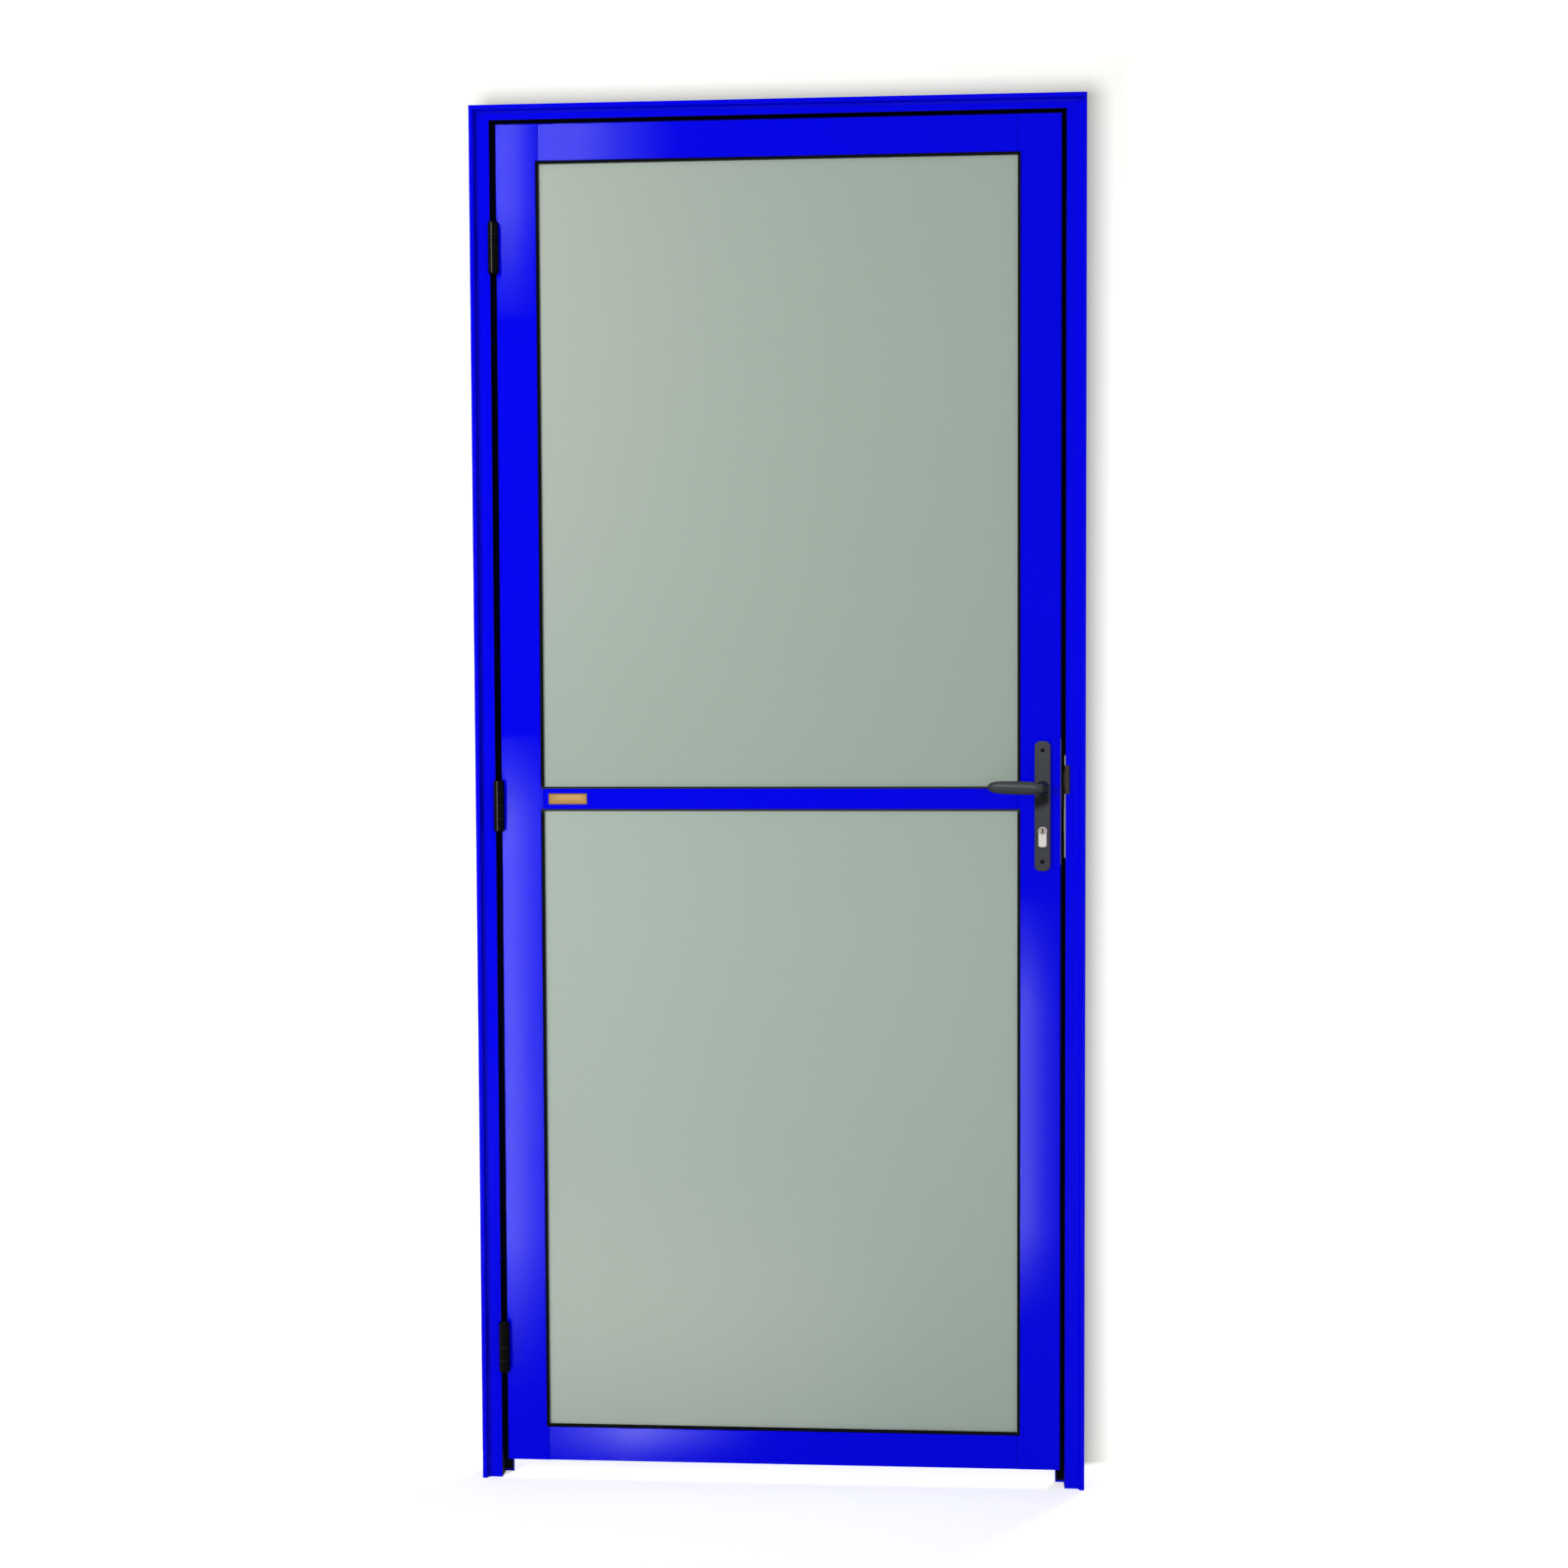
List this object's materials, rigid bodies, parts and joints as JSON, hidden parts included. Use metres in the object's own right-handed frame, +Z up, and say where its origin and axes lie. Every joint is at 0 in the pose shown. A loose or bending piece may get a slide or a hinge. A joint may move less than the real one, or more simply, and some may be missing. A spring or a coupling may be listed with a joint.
{
  "type": "aluminium glass door",
  "caption": "Hinged aluminium door leaf with frosted glass panes in a three-sided frame, with lever handles and a key cylinder.",
  "frame": {"origin": "on the hinge jamb's wall face, at floor level, in the plane of the leaf's front face", "axes": "+X from the hinge jamb to the lock jamb, +Y away from the side that the leaf opens to, +Z up"},
  "size_m": [0.948, 0.149, 2.15],
  "materials": {
    "blue_paint": "gloss powder coat",
    "black_rubber": "matt",
    "frosted_glass": "frosted",
    "dark_metal": "satin dark grey",
    "hinge_black": "satin black",
    "steel": "brushed",
    "cylinder_metal": "satin",
    "brass": "satin"
  },
  "bodies": {
    "frame": {"hinge_jamb": "blue_paint", "lock_jamb": "blue_paint", "head": "blue_paint", "hinge_stop_gasket": "black_rubber", "lock_stop_gasket": "black_rubber", "head_stop_gasket": "black_rubber", "strike_plate": "steel", "strike_screws": "steel", "hinge_pins": "steel", "frame_wing_screws": "steel", "lower_hinge_frame_wing": "hinge_black", "middle_hinge_frame_wing": "hinge_black", "upper_hinge_frame_wing": "hinge_black"},
    "leaf": {"hinge_stile": "blue_paint", "lock_stile": "blue_paint", "top_rail": "blue_paint", "mid_rail": "blue_paint", "bottom_rail": "blue_paint", "upper_glass": "frosted_glass", "lower_glass": "frosted_glass", "upper_front_gasket": "black_rubber", "lower_front_gasket": "black_rubber", "upper_rear_gasket": "black_rubber", "lower_rear_gasket": "black_rubber", "upper_glazing_beads": "blue_paint", "lower_glazing_beads": "blue_paint", "lower_hinge_leaf_wing": "hinge_black", "middle_hinge_leaf_wing": "hinge_black", "upper_hinge_leaf_wing": "hinge_black", "leaf_wing_screws": "steel", "lock_case": "steel", "forend": "steel", "forend_screws": "steel", "latch_bolt": "steel", "dead_bolt": "steel", "front_backplate": "dark_metal", "rear_backplate": "dark_metal", "plate_screws": "steel", "cylinder_body": "cylinder_metal", "rear_key_plug": "cylinder_metal", "label_plate": "brass"},
    "levers": {"front_lever": "dark_metal", "rear_lever": "dark_metal", "spindle": "steel"},
    "key_plug": {"front_key_plug": "cylinder_metal"}
  },
  "joints": [
    {"name": "leaf_swing", "type": "hinge", "parent": "frame", "child": "leaf", "pos_m": [0.0375, -0.0095, 1.075], "axis": [0, 0, -1], "range_deg": [0, 170]},
    {"name": "lever_turn", "type": "hinge", "parent": "leaf", "child": "levers", "pos_m": [0.882, 0, 1.097], "axis": [0, -1, 0], "range_deg": [0, 40], "stiffness_Nm_per_rad": 1.2, "springref_deg": -22.92},
    {"name": "key_turn", "type": "hinge", "parent": "leaf", "child": "key_plug", "pos_m": [0.882, -0.009, 1.02915], "axis": [0, 1, 0], "range_deg": [-180, 180]}
  ]
}
